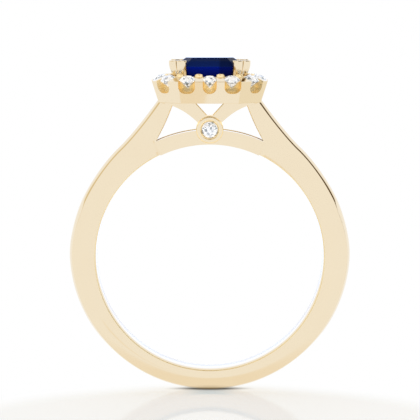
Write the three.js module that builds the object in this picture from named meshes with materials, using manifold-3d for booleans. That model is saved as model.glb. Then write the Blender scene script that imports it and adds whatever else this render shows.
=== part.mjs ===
// Halo engagement ring: a step-cut sapphire in eight claws, a halo of eighteen round diamonds on a
// shared collet, a cathedral shank with pierced gallery, and a small diamond set in a bezel at the
// front and at the back of the gallery. Units are millimetres. The origin is the centre of the
// finger hole, Y runs along the finger, and +Z points from the finger to the sapphire.

import * as THREE from 'three';
import { ConvexGeometry } from 'three/addons/geometries/ConvexGeometry.js';
import { mergeVertices } from 'three/addons/utils/BufferGeometryUtils.js';
import Module from 'manifold-3d';

const wasm = await Module();
wasm.setup();

// Finger hole and band
const FINGER_RADIUS = 8.45;
const BAND_HALF_WIDTH = 1.05;
const BAND_RADIUS = 10.2;
const BAND_CENTRE_Z = 0.4;
const BAND_DOME = 0.22;
const BAND_FLAT_WIDTH = 0.7;
const SOLDER_GAP = 0.03;

// Shoulders: the band's arc ends at BAND_ARC_END, and two curves lead on to the top of the shoulder
const BAND_ARC_END = -0.065;
const LOWER_SHOULDER_CURVE = [10.39, 2.91, 8.12, 6.54, 6.41, 7.99];
const UPPER_SHOULDER_CURVE = [5.51, 8.95, 4.2, 10.56];
const SHOULDER_TOP_Z = 11.52;
const SHOULDER_TOP_OUTER_X = 3.5;
const SHOULDER_TOP_INNER_X = 2.62;

// Gallery and bridge
const GALLERY_CORNER_ANGLE = THREE.MathUtils.degToRad(24.7);
const GALLERY_CORNER_RADIUS = 9.47;
const GALLERY_SIDE_CURVE = [3.17, 9.95];
const BRIDGE_RADIUS = 9.4;
const STRUT_LOW_X = 0.93;
const STRUT_LOW_Z = 10.04;
const STRUT_TOP_X = 1.28;

// Hidden-stone bezel in the gallery
const BEZEL_CENTRE_Z = 9.47;
const BEZEL_RADIUS = 1.0;
const BEZEL_BORE_RADIUS = 0.64;
const BEZEL_SEAT_RADIUS = 0.4;
const BEZEL_HALF_LENGTH = 1.16;
const PEEKABOO_DIAMETER = 1.2;
const PEEKABOO_GIRDLE_Y = 1.0;

// Halo collet
const HALO_BOTTOM_Z = 11.55;
const HALO_RIM_Z = 13.1;
const HALO_CREST_Z = 13.46;
const HALO_FLARE = 0.48;
const HALO_WALL_DEPTH = 1.3;
const HALO_HALF_WIDTH = 4.14;
const HALO_HALF_LENGTH = 5.3;
const HALO_CORNER_SUM = 7.54;
const HALO_FOLD = 0.14;

// Halo diamonds, their scallops and their beads
const HALO_DIAMOND_DIAMETER = 1.16;
const END_DIAMOND_DIAMETER = 1.06;
const HALO_CROWN_HEIGHT = 0.19;
const HALO_PAVILION_DEPTH = 0.64;
const HALO_DIAMOND_INSET = 0.62;
const HALO_DIAMOND_GIRDLE_Z = 13.23;
const HALO_DIAMOND_TILT = THREE.MathUtils.degToRad(16);
const FRONT_DIAMOND_PITCH = 1.57;
const SIDE_DIAMOND_PITCH = 1.6;
const CORNER_DIAMOND_SHIFT = 0.38;
const SCALLOP_WIDTH = 1.18;
const END_SCALLOP_WIDTH = 0.98;
const SCALLOP_CORNER_RADIUS = 0.38;
const SCALLOP_BOTTOM_Z = 12.31;
const SEAT_BORE_RADIUS = 0.42;
const BEAD_RADIUS = 0.27;
const BEAD_TOP_Z = 13.62;
const BEAD_INWARD_SHIFT = 0.34;

// Centre sapphire
const SAPPHIRE_HALF_WIDTH = 2.5;
const SAPPHIRE_HALF_LENGTH = 3.5;
const SAPPHIRE_CORNER_CUT = 0.8;
const SAPPHIRE_TABLE_Z = 14.76;
const SAPPHIRE_TABLE_INSET = 0.8;
const SAPPHIRE_CROWN_STEP_Z = 14.5;
const SAPPHIRE_CROWN_STEP_INSET = 0.4;
const SAPPHIRE_GIRDLE_Z = 14.13;
const SAPPHIRE_GIRDLE_HALF_HEIGHT = 0.04;
const SAPPHIRE_PAVILION_DEPTH = 2.4;

// Claws, from the foot to the tip. Each station is a level oval: out is its distance beyond the
// sapphire's cut corner, apart its distance from the seam between the two claws of that corner.
const CLAW_STATIONS = [
  { z: 11.98, out: -0.56, apart: 0.2, deep: 0.2, wide: 0.26 },
  { z: 12.9, out: -0.26, apart: 0.2, deep: 0.21, wide: 0.26 },
  { z: 13.45, out: 0.02, apart: 0.27, deep: 0.22, wide: 0.31 },
  { z: 13.95, out: 0.2, apart: 0.36, deep: 0.23, wide: 0.35 },
  { z: 14.3, out: 0.25, apart: 0.4, deep: 0.25, wide: 0.37 },
  { z: 14.5, out: 0.14, apart: 0.4, deep: 0.35, wide: 0.37 },
  { z: 14.57, out: 0.11, apart: 0.4, deep: 0.36, wide: 0.34 },
  { z: 14.61, out: 0.11, apart: 0.4, deep: 0.27, wide: 0.25 },
];
const CLAW_SIDES = 16;

// Basket rails
const RAIL_HALF_WIDTH = 2.32;
const RAIL_HALF_LENGTH = 3.32;
const RAIL_CORNER_SUM = 4.74;
const RAIL_THICKNESS = 0.42;
const BASE_RAIL_INSET = 0.38;
const BASE_RAIL_TOP_Z = 11.95;
const SEAT_RAIL_BOTTOM_Z = 12.75;
const SEAT_RAIL_TOP_Z = 13.1;

const gold = new THREE.MeshStandardMaterial({ color: 0xe9d3a6, roughness: 0.14, metalness: 1 });
const sapphireBlue = new THREE.MeshStandardMaterial({ color: 0x08156e, roughness: 0.03, metalness: 0 });
const diamondWhite = new THREE.MeshStandardMaterial({ color: 0xf4f6fa, roughness: 0.02, metalness: 0 });

const ring = new THREE.Group();

// ---------------------------------------------------------------- solids and meshes

// Turns a closed three.js geometry into a solid that can be joined and cut.
function solidOf(geometry) {
  const bare = geometry.index ? geometry.toNonIndexed() : geometry.clone();
  bare.deleteAttribute('normal');
  bare.deleteAttribute('uv');
  const merged = mergeVertices(bare, 1e-4);
  return new wasm.Manifold(new wasm.Mesh({
    numProp: 3,
    vertProperties: Float32Array.from(merged.attributes.position.array),
    triVerts: Uint32Array.from(merged.index.array),
  }));
}

function geometryOf(solid) {
  const mesh = solid.getMesh();
  const geometry = new THREE.BufferGeometry();
  geometry.setAttribute('position', new THREE.BufferAttribute(mesh.vertProperties, 3));
  geometry.setIndex(new THREE.BufferAttribute(mesh.triVerts, 1));
  return geometry;
}

function joined(solids) {
  return solids.reduce((all, next) => all.add(next));
}

function addPiece(name, geometry, material) {
  geometry.computeVertexNormals();
  const mesh = new THREE.Mesh(geometry, material.clone());
  mesh.name = name;
  ring.add(mesh);
  return mesh;
}

// Extrudes an outline drawn in the X-Z plane symmetrically along Y.
function slabAcrossY(shape, halfWidth, curveSegments = 24) {
  const geometry = new THREE.ExtrudeGeometry(shape, {
    depth: 2 * halfWidth,
    bevelEnabled: false,
    curveSegments,
  });
  geometry.translate(0, 0, -halfWidth);
  return geometry.rotateX(Math.PI / 2);
}

// A prism between two outlines with the same number of corners, at two heights.
function frustum(lowerOutline, upperOutline, lowerZ, upperZ) {
  const shape = new THREE.Shape(lowerOutline);
  const geometry = new THREE.ExtrudeGeometry(shape, { depth: upperZ - lowerZ, bevelEnabled: false });
  const position = geometry.attributes.position;
  for (let i = 0; i < position.count; i += 1) {
    const isUpper = position.getZ(i) > (upperZ - lowerZ) / 2;
    position.setZ(i, isUpper ? upperZ : lowerZ);
    if (isUpper) {
      const corner = nearestCorner(lowerOutline, position.getX(i), position.getY(i));
      position.setX(i, upperOutline[corner].x);
      position.setY(i, upperOutline[corner].y);
    }
  }
  return geometry;
}

function nearestCorner(outline, x, y) {
  let nearest = 0;
  outline.forEach((point, index) => {
    const distance = Math.hypot(point.x - x, point.y - y);
    const best = Math.hypot(outline[nearest].x - x, outline[nearest].y - y);
    if (distance < best) nearest = index;
  });
  return nearest;
}

// Repeats the corners of the first quadrant in the other three, anticlockwise.
function fourfold(quadrant) {
  const mirrored = [...quadrant].reverse();
  const points = [
    ...quadrant.map(([x, y]) => new THREE.Vector2(x, y)),
    ...mirrored.map(([x, y]) => new THREE.Vector2(-x, y)),
    ...quadrant.map(([x, y]) => new THREE.Vector2(-x, -y)),
    ...mirrored.map(([x, y]) => new THREE.Vector2(x, -y)),
  ];
  return points.filter((point, i) => {
    const previous = points[(i + points.length - 1) % points.length];
    return point.distanceTo(previous) > 1e-6;
  });
}

// ---------------------------------------------------------------- shank and gallery

// Half outline of the shank's outer edge from the bottom of the band to the top of the shoulder.
function traceOuterEdge(shape, side) {
  const startAngle = side > 0 ? -Math.PI / 2 : 1.5 * Math.PI;
  const endAngle = side > 0 ? BAND_ARC_END : Math.PI - BAND_ARC_END;
  const [ax, az, bx, bz, cx, cz] = LOWER_SHOULDER_CURVE;
  const [dx, dz, ex, ez] = UPPER_SHOULDER_CURVE;
  shape.absarc(0, BAND_CENTRE_Z, BAND_RADIUS, startAngle, endAngle, side < 0);
  shape.bezierCurveTo(side * ax, az, side * bx, bz, side * cx, cz);
  shape.bezierCurveTo(side * dx, dz, side * ex, ez, side * SHOULDER_TOP_OUTER_X, SHOULDER_TOP_Z);
}

// The region inside the shank: finger hole, bridge and gallery.
function innerRegion() {
  const shape = new THREE.Shape();
  const cornerX = GALLERY_CORNER_RADIUS * Math.sin(GALLERY_CORNER_ANGLE);
  const cornerZ = GALLERY_CORNER_RADIUS * Math.cos(GALLERY_CORNER_ANGLE);
  const holeX = FINGER_RADIUS * Math.sin(GALLERY_CORNER_ANGLE);
  const holeZ = FINGER_RADIUS * Math.cos(GALLERY_CORNER_ANGLE);
  const [curveX, curveZ] = GALLERY_SIDE_CURVE;
  const aboveX = SHOULDER_TOP_INNER_X - 0.4;
  const aboveZ = SHOULDER_TOP_Z + 1;
  const top = Math.PI / 2;
  shape.moveTo(holeX, holeZ);
  shape.lineTo(cornerX, cornerZ);
  shape.quadraticCurveTo(curveX, curveZ, SHOULDER_TOP_INNER_X, SHOULDER_TOP_Z);
  shape.lineTo(aboveX, aboveZ);
  shape.lineTo(-aboveX, aboveZ);
  shape.lineTo(-SHOULDER_TOP_INNER_X, SHOULDER_TOP_Z);
  shape.quadraticCurveTo(-curveX, curveZ, -cornerX, cornerZ);
  shape.lineTo(-holeX, holeZ);
  shape.absarc(0, 0, FINGER_RADIUS, top + GALLERY_CORNER_ANGLE, top - GALLERY_CORNER_ANGLE, false);
  return shape;
}

// A filled, domed outline, cut by the inner region and levelled off under the halo.
function shankGeometry() {
  const outline = new THREE.Shape();
  traceOuterEdge(outline, 1);
  outline.lineTo(-SHOULDER_TOP_OUTER_X, SHOULDER_TOP_Z);
  const left = new THREE.Shape();
  traceOuterEdge(left, -1);
  const leftPoints = left.getPoints(14).reverse();
  const points = [...outline.getPoints(14), ...leftPoints.slice(1)];
  const domed = new THREE.ExtrudeGeometry(new THREE.Shape(points), {
    depth: BAND_FLAT_WIDTH,
    bevelThickness: BAND_HALF_WIDTH - BAND_FLAT_WIDTH / 2,
    bevelSize: BAND_DOME,
    bevelSegments: 2,
  });
  domed.translate(0, 0, -BAND_FLAT_WIDTH / 2);
  domed.rotateX(Math.PI / 2);
  const inside = slabAcrossY(innerRegion(), 3, 36);
  const above = new THREE.BoxGeometry(12, 6, 2);
  above.translate(0, 0, SHOULDER_TOP_Z + 1);
  return geometryOf(solidOf(domed).subtract(solidOf(inside)).subtract(solidOf(above)));
}

function bezelCylinder(radius) {
  const cylinder = new THREE.CylinderGeometry(radius, radius, 6, 48);
  cylinder.translate(0, 0, BEZEL_CENTRE_Z);
  return solidOf(cylinder);
}

// One half of the curved bar between finger and gallery, from the shoulder to the bezel.
function bridgeGeometry(side) {
  const limit = GALLERY_CORNER_ANGLE - SOLDER_GAP / FINGER_RADIUS;
  const top = Math.PI / 2;
  const shape = new THREE.Shape();
  shape.absarc(0, 0, BRIDGE_RADIUS, top - limit, top, false);
  shape.absarc(0, 0, FINGER_RADIUS, top, top - limit, true);
  const bar = slabAcrossY(shape, BAND_HALF_WIDTH, 14);
  const solid = solidOf(bar).subtract(bezelCylinder(BEZEL_RADIUS + SOLDER_GAP));
  return mirroredAcrossX(geometryOf(solid), side);
}

// A slanting gallery bar from the top of the shoulder down to the bezel.
function strutGeometry(side) {
  const wallX = SHOULDER_TOP_INNER_X - SOLDER_GAP;
  const middleX = 0.04;
  const footZ = BEZEL_CENTRE_Z + 0.22;
  const shape = new THREE.Shape();
  shape.moveTo(0.55, footZ);
  shape.lineTo(STRUT_LOW_X, STRUT_LOW_Z);
  shape.quadraticCurveTo(1.67, 10.95, wallX + 0.06, SHOULDER_TOP_Z - 0.28);
  shape.lineTo(wallX - 0.04, SHOULDER_TOP_Z);
  shape.lineTo(STRUT_TOP_X, SHOULDER_TOP_Z);
  shape.lineTo(0.27, BEZEL_CENTRE_Z + 1.02);
  shape.lineTo(middleX, BEZEL_CENTRE_Z + 0.79);
  shape.lineTo(middleX, footZ);
  const bar = slabAcrossY(shape, BAND_HALF_WIDTH, 8);
  const solid = solidOf(bar).subtract(bezelCylinder(BEZEL_RADIUS + SOLDER_GAP));
  return mirroredAcrossX(geometryOf(solid), side);
}

// Mirrors a geometry in the Y-Z plane for side -1 and keeps its faces pointing out.
function mirroredAcrossX(geometry, side) {
  if (side > 0) return geometry;
  const mirror = geometry.clone().scale(-1, 1, 1);
  const index = mirror.index;
  for (let i = 0; i < index.count; i += 3) {
    const second = index.getX(i + 1);
    index.setX(i + 1, index.getX(i + 2));
    index.setX(i + 2, second);
  }
  return mirror;
}

// ---------------------------------------------------------------- gems

// A round brilliant with its girdle at z = 0, its table up and its culet down.
function brilliantGeometry(diameter, crownHeight, pavilionDepth) {
  const radius = diameter / 2;
  const girdle = 0.02 * diameter;
  const tableRadius = 0.56 * radius;
  const points = [];
  const addRing = (count, ringRadius, z, turn) => {
    for (let i = 0; i < count; i += 1) {
      const angle = (i + turn) * 2 * Math.PI / count;
      points.push(new THREE.Vector3(ringRadius * Math.cos(angle), ringRadius * Math.sin(angle), z));
    }
  };
  addRing(8, tableRadius, girdle + crownHeight, 0);
  addRing(8, 0.8 * radius, girdle + 0.52 * crownHeight, 0.5);
  addRing(16, radius, girdle, 0.5);
  addRing(16, radius, -girdle, 0.5);
  addRing(8, 0.24 * radius, -0.79 * pavilionDepth, 0);
  points.push(new THREE.Vector3(0, 0, -pavilionDepth));
  return new ConvexGeometry(points);
}

// Corner points of a rectangle with cut corners, all shrunk by an inset.
function stepOutline(inset, z) {
  const x = SAPPHIRE_HALF_WIDTH - inset;
  const y = SAPPHIRE_HALF_LENGTH - inset;
  const cut = Math.max(SAPPHIRE_CORNER_CUT - 0.42 * inset, 0.04);
  const corners = fourfold([[x, y - cut], [x - cut, y]]);
  return corners.map((corner) => new THREE.Vector3(corner.x, corner.y, z));
}

// Step cut: two crown steps, a girdle, and three pavilion steps down to a keel.
function sapphireGeometry() {
  const girdle = SAPPHIRE_GIRDLE_HALF_HEIGHT;
  const keelHalfLength = SAPPHIRE_HALF_LENGTH - SAPPHIRE_HALF_WIDTH;
  const keelZ = SAPPHIRE_GIRDLE_Z - SAPPHIRE_PAVILION_DEPTH;
  const points = [
    ...stepOutline(SAPPHIRE_TABLE_INSET, SAPPHIRE_TABLE_Z),
    ...stepOutline(SAPPHIRE_CROWN_STEP_INSET, SAPPHIRE_CROWN_STEP_Z),
    ...stepOutline(0, SAPPHIRE_GIRDLE_Z + girdle),
    ...stepOutline(0, SAPPHIRE_GIRDLE_Z - girdle),
    ...stepOutline(0.55, SAPPHIRE_GIRDLE_Z - 0.4 * SAPPHIRE_PAVILION_DEPTH),
    ...stepOutline(1.4, SAPPHIRE_GIRDLE_Z - 0.75 * SAPPHIRE_PAVILION_DEPTH),
    new THREE.Vector3(0, keelHalfLength, keelZ),
    new THREE.Vector3(0, -keelHalfLength, keelZ),
  ];
  return new ConvexGeometry(points);
}

// ---------------------------------------------------------------- halo

// Twelve-sided outline: cut corners, and each long side folded slightly outwards at its middle.
function haloOutline(inset) {
  const sideX = HALO_HALF_WIDTH - inset;
  const endY = HALO_HALF_LENGTH - inset;
  const cornerSum = HALO_CORNER_SUM - Math.SQRT2 * inset;
  return fourfold([
    [sideX + HALO_FOLD, 0],
    [sideX, cornerSum - sideX],
    [cornerSum - endY, endY],
    [0, endY + HALO_FOLD],
  ]);
}

// Where each halo diamond stands, how wide it is, and the direction that its scallop opens to.
function haloSeats() {
  const diagonal = Math.SQRT1_2;
  const endY = HALO_HALF_LENGTH - HALO_DIAMOND_INSET;
  const sideX = HALO_HALF_WIDTH - HALO_DIAMOND_INSET;
  const cornerSum = HALO_CORNER_SUM - Math.SQRT2 * HALO_DIAMOND_INSET;
  const cornerX = cornerSum / 2 - CORNER_DIAMOND_SHIFT;
  const quadrant = [
    { x: 0, y: endY + 0.1, out: [0, 1], isEnd: true },
    { x: FRONT_DIAMOND_PITCH, y: endY + 0.04, out: [0.13, 1], isEnd: false },
    { x: cornerX, y: cornerSum - cornerX, out: [diagonal, diagonal], isEnd: false },
    { x: sideX + 0.03, y: 1.5 * SIDE_DIAMOND_PITCH, out: [1, 0.05], isEnd: false },
    { x: sideX + 0.1, y: 0.5 * SIDE_DIAMOND_PITCH, out: [1, 0.05], isEnd: false },
  ];
  const seats = [];
  for (const { x, y, out, isEnd } of quadrant) {
    const diameter = isEnd ? END_DIAMOND_DIAMETER : HALO_DIAMOND_DIAMETER;
    const scallopWidth = isEnd ? END_SCALLOP_WIDTH : SCALLOP_WIDTH;
    for (const sideY of [-1, 1]) {
      for (const side of isEnd ? [1] : [1, -1]) {
        const position = new THREE.Vector2(side * x, sideY * y);
        const heading = new THREE.Vector2(side * out[0], sideY * out[1]).normalize();
        seats.push({ position, out: heading, diameter, scallopWidth });
      }
    }
  }
  const angleOf = ({ position }) => (Math.atan2(position.y, position.x) + 2.5 * Math.PI) % (2 * Math.PI);
  return seats.sort((a, b) => angleOf(a) - angleOf(b));
}

// Turns and moves a geometry made around the origin, facing +X, onto a halo seat.
function placeOnSeat(geometry, seat, tilt, z) {
  const heading = Math.atan2(seat.out.y, seat.out.x);
  geometry.rotateY(tilt);
  geometry.rotateZ(heading);
  geometry.translate(seat.position.x, seat.position.y, z);
  return geometry;
}

// The open U in the collet wall below one diamond.
function scallopCutter(seat) {
  const half = seat.scallopWidth / 2;
  const radius = SCALLOP_CORNER_RADIUS;
  const arcZ = SCALLOP_BOTTOM_Z - HALO_DIAMOND_GIRDLE_Z + radius;
  const shape = new THREE.Shape();
  shape.moveTo(half, 1);
  shape.lineTo(-half, 1);
  shape.lineTo(-half, arcZ);
  shape.absarc(radius - half, arcZ, radius, Math.PI, 1.5 * Math.PI, false);
  shape.absarc(half - radius, arcZ, radius, 1.5 * Math.PI, 2 * Math.PI, false);
  const cutter = new THREE.ExtrudeGeometry(shape, { depth: 2, bevelEnabled: false, curveSegments: 4 });
  cutter.rotateX(Math.PI / 2);
  cutter.rotateZ(Math.PI / 2);
  return solidOf(placeOnSeat(cutter, seat, 0, HALO_DIAMOND_GIRDLE_Z));
}

// The conical seat drilled for one diamond.
function seatCutter(seat) {
  const radius = seat.diameter / 2 + SOLDER_GAP;
  const floorZ = SCALLOP_BOTTOM_Z - HALO_DIAMOND_GIRDLE_Z;
  const coneDepth = (radius - SEAT_BORE_RADIUS) * HALO_PAVILION_DEPTH / radius;
  const profile = [
    new THREE.Vector2(0, 0.8),
    new THREE.Vector2(radius, 0.8),
    new THREE.Vector2(radius, -SOLDER_GAP),
    new THREE.Vector2(SEAT_BORE_RADIUS, -SOLDER_GAP - coneDepth),
    new THREE.Vector2(SEAT_BORE_RADIUS, floorZ),
    new THREE.Vector2(0, floorZ),
  ];
  const drill = new THREE.LatheGeometry(profile.reverse(), 16);
  drill.rotateX(Math.PI / 2);
  return solidOf(placeOnSeat(drill, seat, HALO_DIAMOND_TILT, HALO_DIAMOND_GIRDLE_Z));
}

// Raised beads between neighbouring diamonds, on the inner side of the row.
function sharedBead(seat, next) {
  const middle = seat.position.clone().add(next.position).multiplyScalar(0.5);
  const inward = seat.out.clone().add(next.out).normalize().multiplyScalar(-BEAD_INWARD_SHIFT);
  const profile = [
    new THREE.Vector2(0, BEAD_TOP_Z),
    new THREE.Vector2(0.7 * BEAD_RADIUS, BEAD_TOP_Z - 0.03),
    new THREE.Vector2(BEAD_RADIUS, BEAD_TOP_Z - 0.12),
    new THREE.Vector2(1.1 * BEAD_RADIUS, HALO_RIM_Z - 0.1),
    new THREE.Vector2(0, HALO_RIM_Z - 0.1),
  ];
  const bead = new THREE.LatheGeometry(profile.reverse(), 12);
  bead.rotateX(Math.PI / 2);
  bead.translate(middle.x + inward.x, middle.y + inward.y, 0);
  return solidOf(bead);
}

function haloColletGeometry(seats) {
  const wall = solidOf(frustum(haloOutline(HALO_FLARE), haloOutline(0), HALO_BOTTOM_Z, HALO_RIM_Z));
  const roof = solidOf(frustum(haloOutline(0), haloOutline(HALO_WALL_DEPTH), HALO_RIM_Z, HALO_CREST_Z));
  const opening = haloOutline(HALO_WALL_DEPTH);
  const well = solidOf(frustum(opening, opening, HALO_BOTTOM_Z - 1, HALO_CREST_Z + 1));
  const scallops = seats.map((seat) => scallopCutter(seat));
  const drills = seats.map((seat) => seatCutter(seat));
  const beads = seats.map((seat, i) => sharedBead(seat, seats[(i + 1) % seats.length]));
  const body = wall.add(roof).subtract(well).subtract(joined(scallops));
  return geometryOf(body.add(joined(beads)).subtract(joined(drills)));
}

// ---------------------------------------------------------------- claws and basket

function railOutline(inset) {
  const x = RAIL_HALF_WIDTH - inset;
  const y = RAIL_HALF_LENGTH - inset;
  const cornerSum = RAIL_CORNER_SUM - Math.SQRT2 * inset;
  return fourfold([[x, cornerSum - x], [cornerSum - y, y]]);
}

// A flat octagonal wire that joins the claws around the sapphire's pavilion.
function railGeometry(inset, lowerZ, upperZ) {
  const outer = railOutline(inset);
  const inner = railOutline(inset + RAIL_THICKNESS);
  const ringSolid = solidOf(frustum(outer, outer, lowerZ, upperZ));
  const hole = solidOf(frustum(inner, inner, lowerZ - 1, upperZ + 1));
  return geometryOf(ringSolid.subtract(hole));
}

// A filled rail, slightly larger, that notches the claws where the rail passes them.
function railNotch(inset, lowerZ, upperZ) {
  const outline = railOutline(inset - SOLDER_GAP);
  return solidOf(frustum(outline, outline, lowerZ - SOLDER_GAP, upperZ + SOLDER_GAP));
}

function clawStation(along) {
  const place = along * (CLAW_STATIONS.length - 1);
  const index = Math.min(Math.floor(place), CLAW_STATIONS.length - 2);
  const lower = CLAW_STATIONS[index];
  const upper = CLAW_STATIONS[index + 1];
  const between = (key) => THREE.MathUtils.lerp(lower[key], upper[key], place - index);
  return { z: between('z'), out: between('out'), apart: between('apart'),
    deep: between('deep'), wide: between('wide') };
}

// One claw of a corner, before it is notched for the stone. The corner's two claws rise together,
// lean outwards and part, and their flat tips fold in over the sapphire's cut corner.
function clawGeometry(corner, outward, seamSide) {
  const sideways = new THREE.Vector2(outward.y, -outward.x);
  const profile = [new THREE.Vector2(0, 0)];
  CLAW_STATIONS.forEach((_, i) => profile.push(new THREE.Vector2(1, i / (CLAW_STATIONS.length - 1))));
  profile.push(new THREE.Vector2(0, 1));
  const claw = new THREE.LatheGeometry(profile, CLAW_SIDES);
  const position = claw.attributes.position;
  for (let i = 0; i < position.count; i += 1) {
    const station = clawStation(position.getY(i));
    const place = corner.clone();
    place.addScaledVector(outward, station.out + station.deep * position.getX(i));
    place.addScaledVector(sideways, seamSide * station.apart + station.wide * position.getZ(i));
    position.setXYZ(i, place.x, place.y, station.z);
  }
  return claw;
}

// Everything on the other side of the seam between the two claws of a corner.
function beyondSeam(corner, outward, seamSide) {
  const halfSize = 2;
  const sideways = new THREE.Vector2(outward.y, -outward.x);
  const block = new THREE.BoxGeometry(2 * halfSize, 2 * halfSize, 4 * halfSize);
  block.rotateZ(Math.atan2(outward.y, outward.x));
  const shift = seamSide * (SOLDER_GAP / 2 - halfSize);
  block.translate(corner.x + shift * sideways.x, corner.y + shift * sideways.y, SAPPHIRE_GIRDLE_Z);
  return solidOf(block);
}

// The sapphire, slightly larger, that notches the claws.
function sapphireNotch() {
  const growth = 1 + SOLDER_GAP / SAPPHIRE_HALF_WIDTH;
  const notch = sapphireGeometry();
  notch.translate(0, 0, -SAPPHIRE_GIRDLE_Z);
  notch.scale(growth, growth, growth * 1.04);
  notch.translate(0, 0, SAPPHIRE_GIRDLE_Z);
  return solidOf(notch);
}

// ---------------------------------------------------------------- assembly

function addShankAndGallery() {
  addPiece('shank', shankGeometry(), gold);
  addPiece('bridge_right', bridgeGeometry(1), gold);
  addPiece('bridge_left', bridgeGeometry(-1), gold);
  addPiece('gallery_strut_right', strutGeometry(1), gold);
  addPiece('gallery_strut_left', strutGeometry(-1), gold);
}

function addBezel() {
  const seatY = PEEKABOO_GIRDLE_Y - 0.45;
  const half = [
    [BEZEL_SEAT_RADIUS, 0],
    [BEZEL_SEAT_RADIUS, seatY],
    [BEZEL_BORE_RADIUS, PEEKABOO_GIRDLE_Y - 0.05],
    [BEZEL_BORE_RADIUS, PEEKABOO_GIRDLE_Y + 0.06],
    [BEZEL_BORE_RADIUS + 0.07, BEZEL_HALF_LENGTH],
    [BEZEL_RADIUS - 0.08, BEZEL_HALF_LENGTH],
    [BEZEL_RADIUS, BEZEL_HALF_LENGTH - 0.1],
  ];
  const front = half.map(([radius, y]) => new THREE.Vector2(radius, y));
  const back = half.slice(1).reverse().map(([radius, y]) => new THREE.Vector2(radius, -y));
  const profile = [...front, ...back, front[0]].reverse();
  const bezel = new THREE.LatheGeometry(profile, 28);
  bezel.translate(0, 0, BEZEL_CENTRE_Z);
  addPiece('peekaboo_bezel', bezel, gold);
  for (const [name, side] of [['front', -1], ['back', 1]]) {
    const gem = brilliantGeometry(PEEKABOO_DIAMETER, 0.17, 0.52);
    gem.rotateX(-side * Math.PI / 2);
    gem.translate(0, side * PEEKABOO_GIRDLE_Y, BEZEL_CENTRE_Z);
    addPiece(`peekaboo_diamond_${name}`, gem, diamondWhite);
  }
}

function addHalo() {
  const seats = haloSeats();
  addPiece('halo_collet', haloColletGeometry(seats), gold);
  seats.forEach((seat, i) => {
    const gem = brilliantGeometry(seat.diameter, HALO_CROWN_HEIGHT, HALO_PAVILION_DEPTH);
    placeOnSeat(gem, seat, HALO_DIAMOND_TILT, HALO_DIAMOND_GIRDLE_Z);
    addPiece(`halo_diamond_${String(i + 1).padStart(2, '0')}`, gem, diamondWhite);
  });
}

function addCentreSetting() {
  addPiece('base_rail', railGeometry(BASE_RAIL_INSET, HALO_BOTTOM_Z, BASE_RAIL_TOP_Z), gold);
  addPiece('seat_rail', railGeometry(0, SEAT_RAIL_BOTTOM_Z, SEAT_RAIL_TOP_Z), gold);
  addPiece('centre_sapphire', sapphireGeometry(), sapphireBlue);
  const notches = joined([
    sapphireNotch(),
    railNotch(BASE_RAIL_INSET, HALO_BOTTOM_Z, BASE_RAIL_TOP_Z),
    railNotch(0, SEAT_RAIL_BOTTOM_Z, SEAT_RAIL_TOP_Z),
  ]);
  const cornerX = SAPPHIRE_HALF_WIDTH - SAPPHIRE_CORNER_CUT / 2;
  const cornerY = SAPPHIRE_HALF_LENGTH - SAPPHIRE_CORNER_CUT / 2;
  for (const [endName, sideY] of [['front', -1], ['back', 1]]) {
    for (const [sideName, sideX] of [['left', -1], ['right', 1]]) {
      const corner = new THREE.Vector2(sideX * cornerX, sideY * cornerY);
      const outward = new THREE.Vector2(sideX, sideY).normalize();
      for (const [letter, seamSide] of [['a', -1], ['b', 1]]) {
        const whole = solidOf(clawGeometry(corner, outward, seamSide));
        const claw = whole.subtract(notches).subtract(beyondSeam(corner, outward, seamSide));
        addPiece(`claw_${endName}_${sideName}_${letter}`, geometryOf(claw), gold);
      }
    }
  }
}

addShankAndGallery();
addBezel();
addHalo();
addCentreSetting();

export default ring;
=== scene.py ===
"""Looks for the halo engagement ring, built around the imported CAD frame. Lengths in metres."""
import math

import bmesh
import bpy
from mathutils import Matrix, Vector


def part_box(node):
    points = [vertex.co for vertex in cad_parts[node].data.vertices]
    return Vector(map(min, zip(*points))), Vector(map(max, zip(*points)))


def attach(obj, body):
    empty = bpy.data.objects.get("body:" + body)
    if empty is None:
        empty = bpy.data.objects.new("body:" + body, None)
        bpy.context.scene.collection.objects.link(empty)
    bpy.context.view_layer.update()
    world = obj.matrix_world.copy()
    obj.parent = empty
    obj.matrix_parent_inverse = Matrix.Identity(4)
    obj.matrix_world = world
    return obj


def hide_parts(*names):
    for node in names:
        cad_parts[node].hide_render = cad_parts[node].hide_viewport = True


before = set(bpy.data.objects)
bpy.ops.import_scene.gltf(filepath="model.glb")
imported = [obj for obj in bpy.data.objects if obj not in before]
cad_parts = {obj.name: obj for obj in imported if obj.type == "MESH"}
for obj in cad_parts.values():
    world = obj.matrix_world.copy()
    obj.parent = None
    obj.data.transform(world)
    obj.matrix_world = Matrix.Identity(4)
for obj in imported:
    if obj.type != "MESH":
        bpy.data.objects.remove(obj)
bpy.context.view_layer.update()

MM = 0.001

# ---------------------------------------------------------------- sizes read from the frame
SHANK_LOW, SHANK_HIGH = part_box("shank")
BEZEL_LOW, BEZEL_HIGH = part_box("peekaboo_bezel")
HALO_LOW, HALO_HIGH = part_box("halo_collet")

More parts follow.
